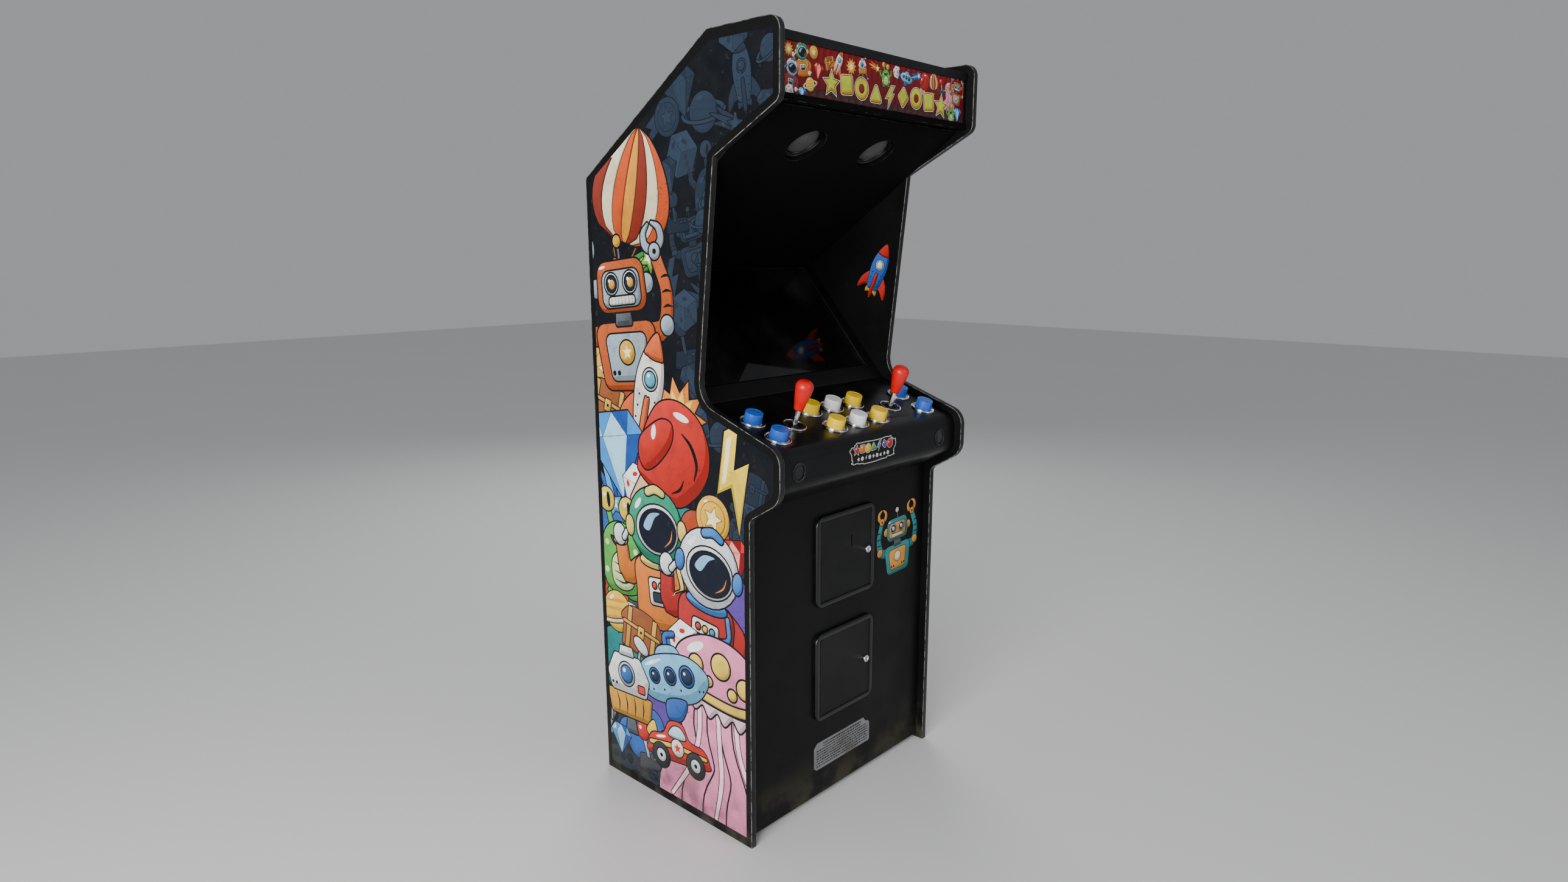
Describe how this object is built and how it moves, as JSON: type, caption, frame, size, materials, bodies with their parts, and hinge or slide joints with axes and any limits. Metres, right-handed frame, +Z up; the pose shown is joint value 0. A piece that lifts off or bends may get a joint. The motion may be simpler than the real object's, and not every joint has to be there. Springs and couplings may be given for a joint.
{
  "type": "upright arcade cabinet",
  "caption": "Upright arcade cabinet with shaped sides, lit sign, laid-back screen, sloping panel with joysticks and buttons, hinged coin doors and a rear service door.",
  "frame": {"origin": "on the floor, under the middle of the cabinet's overall box", "axes": "+Z up; the player stands on the -Y side, facing +Y; +X to the player's right"},
  "size_m": [0.702, 0.632, 1.8],
  "materials": {
    "black_laminate": "satin black laminate on board, worn",
    "bare_board": "unfinished board",
    "edge_trim": "black edge strip, worn pale at the corners",
    "black_plastic": "fine moulded texture",
    "control_sheet": "semi-gloss black paint",
    "screen_glass": "dark glossy screen cover",
    "sign_film": "printed translucent sign",
    "blue_cap": "blue moulded plastic",
    "yellow_cap": "yellow moulded plastic",
    "white_cap": "white moulded plastic",
    "red_bat": "red moulded plastic",
    "chrome": "polished",
    "steel": "satin",
    "aluminium": "folded sheet",
    "lamp_white": "white lamp tube and batten",
    "circuit_board": "green circuit board"
  },
  "bodies": {
    "cabinet": {"base_panel": "bare_board", "cash_box": "steel", "control_panel": "control_sheet", "edge_trim_left": "edge_trim", "edge_trim_right": "edge_trim", "front_panel": "black_laminate", "game_board": "circuit_board", "left_blue_back_housing": "chrome", "left_blue_front_housing": "chrome", "left_joystick_base": "chrome", "left_speaker": "black_plastic", "left_yellow_back_housing": "chrome", "left_yellow_front_housing": "chrome", "lower_door_frame": "black_plastic", "marquee_lamp": "lamp_white", "marquee_panel": "sign_film", "marquee_retainer_bottom": "black_plastic", "marquee_retainer_top": "black_plastic", "monitor": "black_plastic", "power_supply": "aluminium", "rear_frame": "black_laminate", "rear_slope_panel": "black_laminate", "right_blue_back_housing": "chrome", "right_blue_front_housing": "chrome", "right_joystick_base": "chrome", "right_speaker": "black_plastic", "right_yellow_back_housing": "chrome", "right_yellow_front_housing": "chrome", "screen_bezel": "black_plastic", "screen_glass": "screen_glass", "side_panel_left": "black_laminate", "side_panel_right": "black_laminate", "speaker_panel": "black_laminate", "top_panel": "black_laminate", "upper_door_frame": "black_plastic", "white_back_housing": "chrome", "white_front_housing": "chrome"},
    "left_blue_back_button": {"left_blue_back_cap": "blue_cap"},
    "left_yellow_back_button": {"left_yellow_back_cap": "yellow_cap"},
    "white_back_button": {"white_back_cap": "white_cap"},
    "right_yellow_back_button": {"right_yellow_back_cap": "yellow_cap"},
    "right_blue_back_button": {"right_blue_back_cap": "blue_cap"},
    "left_blue_front_button": {"left_blue_front_cap": "blue_cap"},
    "left_yellow_front_button": {"left_yellow_front_cap": "yellow_cap"},
    "white_front_button": {"white_front_cap": "white_cap"},
    "right_yellow_front_button": {"right_yellow_front_cap": "yellow_cap"},
    "right_blue_front_button": {"right_blue_front_cap": "blue_cap"},
    "left_gimbal": {"left_joystick_gimbal": "steel"},
    "left_stick": {"left_joystick_shaft": "steel", "left_joystick_bat": "red_bat"},
    "right_gimbal": {"right_joystick_gimbal": "steel"},
    "right_stick": {"right_joystick_shaft": "steel", "right_joystick_bat": "red_bat"},
    "upper_coin_door": {"upper_door": "black_plastic", "coin_mechanism": "steel"},
    "upper_coin_lock": {"upper_door_lock": "chrome"},
    "lower_coin_door": {"lower_door": "black_plastic"},
    "lower_coin_lock": {"lower_door_lock": "chrome"},
    "rear_service_door": {"rear_door": "black_laminate"},
    "rear_lock": {"rear_door_lock": "chrome"}
  },
  "joints": [
    {"name": "left_blue_back_press", "type": "slide", "parent": "cabinet", "child": "left_blue_back_button", "axis": [0, 0.322, -0.9467], "range_m": [0, 0.004], "stiffness_N_per_m": 200, "springref_m": -0.004},
    {"name": "left_yellow_back_press", "type": "slide", "parent": "cabinet", "child": "left_yellow_back_button", "axis": [0, 0.322, -0.9467], "range_m": [0, 0.004], "stiffness_N_per_m": 200, "springref_m": -0.004},
    {"name": "white_back_press", "type": "slide", "parent": "cabinet", "child": "white_back_button", "axis": [0, 0.322, -0.9467], "range_m": [0, 0.004], "stiffness_N_per_m": 200, "springref_m": -0.004},
    {"name": "right_yellow_back_press", "type": "slide", "parent": "cabinet", "child": "right_yellow_back_button", "axis": [0, 0.322, -0.9467], "range_m": [0, 0.004], "stiffness_N_per_m": 200, "springref_m": -0.004},
    {"name": "right_blue_back_press", "type": "slide", "parent": "cabinet", "child": "right_blue_back_button", "axis": [0, 0.322, -0.9467], "range_m": [0, 0.004], "stiffness_N_per_m": 200, "springref_m": -0.004},
    {"name": "left_blue_front_press", "type": "slide", "parent": "cabinet", "child": "left_blue_front_button", "axis": [0, 0.322, -0.9467], "range_m": [0, 0.004], "stiffness_N_per_m": 200, "springref_m": -0.004},
    {"name": "left_yellow_front_press", "type": "slide", "parent": "cabinet", "child": "left_yellow_front_button", "axis": [0, 0.322, -0.9467], "range_m": [0, 0.004], "stiffness_N_per_m": 200, "springref_m": -0.004},
    {"name": "white_front_press", "type": "slide", "parent": "cabinet", "child": "white_front_button", "axis": [0, 0.322, -0.9467], "range_m": [0, 0.004], "stiffness_N_per_m": 200, "springref_m": -0.004},
    {"name": "right_yellow_front_press", "type": "slide", "parent": "cabinet", "child": "right_yellow_front_button", "axis": [0, 0.322, -0.9467], "range_m": [0, 0.004], "stiffness_N_per_m": 200, "springref_m": -0.004},
    {"name": "right_blue_front_press", "type": "slide", "parent": "cabinet", "child": "right_blue_front_button", "axis": [0, 0.322, -0.9467], "range_m": [0, 0.004], "stiffness_N_per_m": 200, "springref_m": -0.004},
    {"name": "left_stick_fore_aft", "type": "hinge", "parent": "cabinet", "child": "left_gimbal", "pos_m": [-0.181, -0.19469, 0.95223], "axis": [1, 0, 0], "range_deg": [-11, 11], "stiffness_Nm_per_rad": 2},
    {"name": "left_stick_side_to_side", "type": "hinge", "parent": "left_gimbal", "child": "left_stick", "pos_m": [-0.181, -0.19469, 0.95223], "axis": [0, 0.9467, 0.322], "range_deg": [-11, 11], "stiffness_Nm_per_rad": 2},
    {"name": "right_stick_fore_aft", "type": "hinge", "parent": "cabinet", "child": "right_gimbal", "pos_m": [0.181, -0.19469, 0.95223], "axis": [1, 0, 0], "range_deg": [-11, 11], "stiffness_Nm_per_rad": 2},
    {"name": "right_stick_side_to_side", "type": "hinge", "parent": "right_gimbal", "child": "right_stick", "pos_m": [0.181, -0.19469, 0.95223], "axis": [0, 0.9467, 0.322], "range_deg": [-11, 11], "stiffness_Nm_per_rad": 2},
    {"name": "upper_coin_door_hinge", "type": "hinge", "parent": "cabinet", "child": "upper_coin_door", "pos_m": [-0.09425, -0.2085, 0.626], "axis": [0, 0, -1], "range_deg": [0, 90]},
    {"name": "upper_coin_lock_turn", "type": "hinge", "parent": "upper_coin_door", "child": "upper_coin_lock", "pos_m": [0.0835, -0.2125, 0.621], "axis": [0, -1, 0], "range_deg": [0, 90]},
    {"name": "lower_coin_door_hinge", "type": "hinge", "parent": "cabinet", "child": "lower_coin_door", "pos_m": [-0.09425, -0.2085, 0.33], "axis": [0, 0, -1], "range_deg": [0, 90]},
    {"name": "lower_coin_lock_turn", "type": "hinge", "parent": "lower_coin_door", "child": "lower_coin_lock", "pos_m": [0.0835, -0.2125, 0.325], "axis": [0, -1, 0], "range_deg": [0, 90]},
    {"name": "rear_door_hinge", "type": "hinge", "parent": "cabinet", "child": "rear_service_door", "pos_m": [-0.246, 0.3025, 0.7], "axis": [0, 0, 1], "range_deg": [0, 95]},
    {"name": "rear_lock_turn", "type": "hinge", "parent": "rear_service_door", "child": "rear_lock", "pos_m": [0.225, 0.31, 0.75], "axis": [0, -1, 0], "range_deg": [0, 90]}
  ]
}
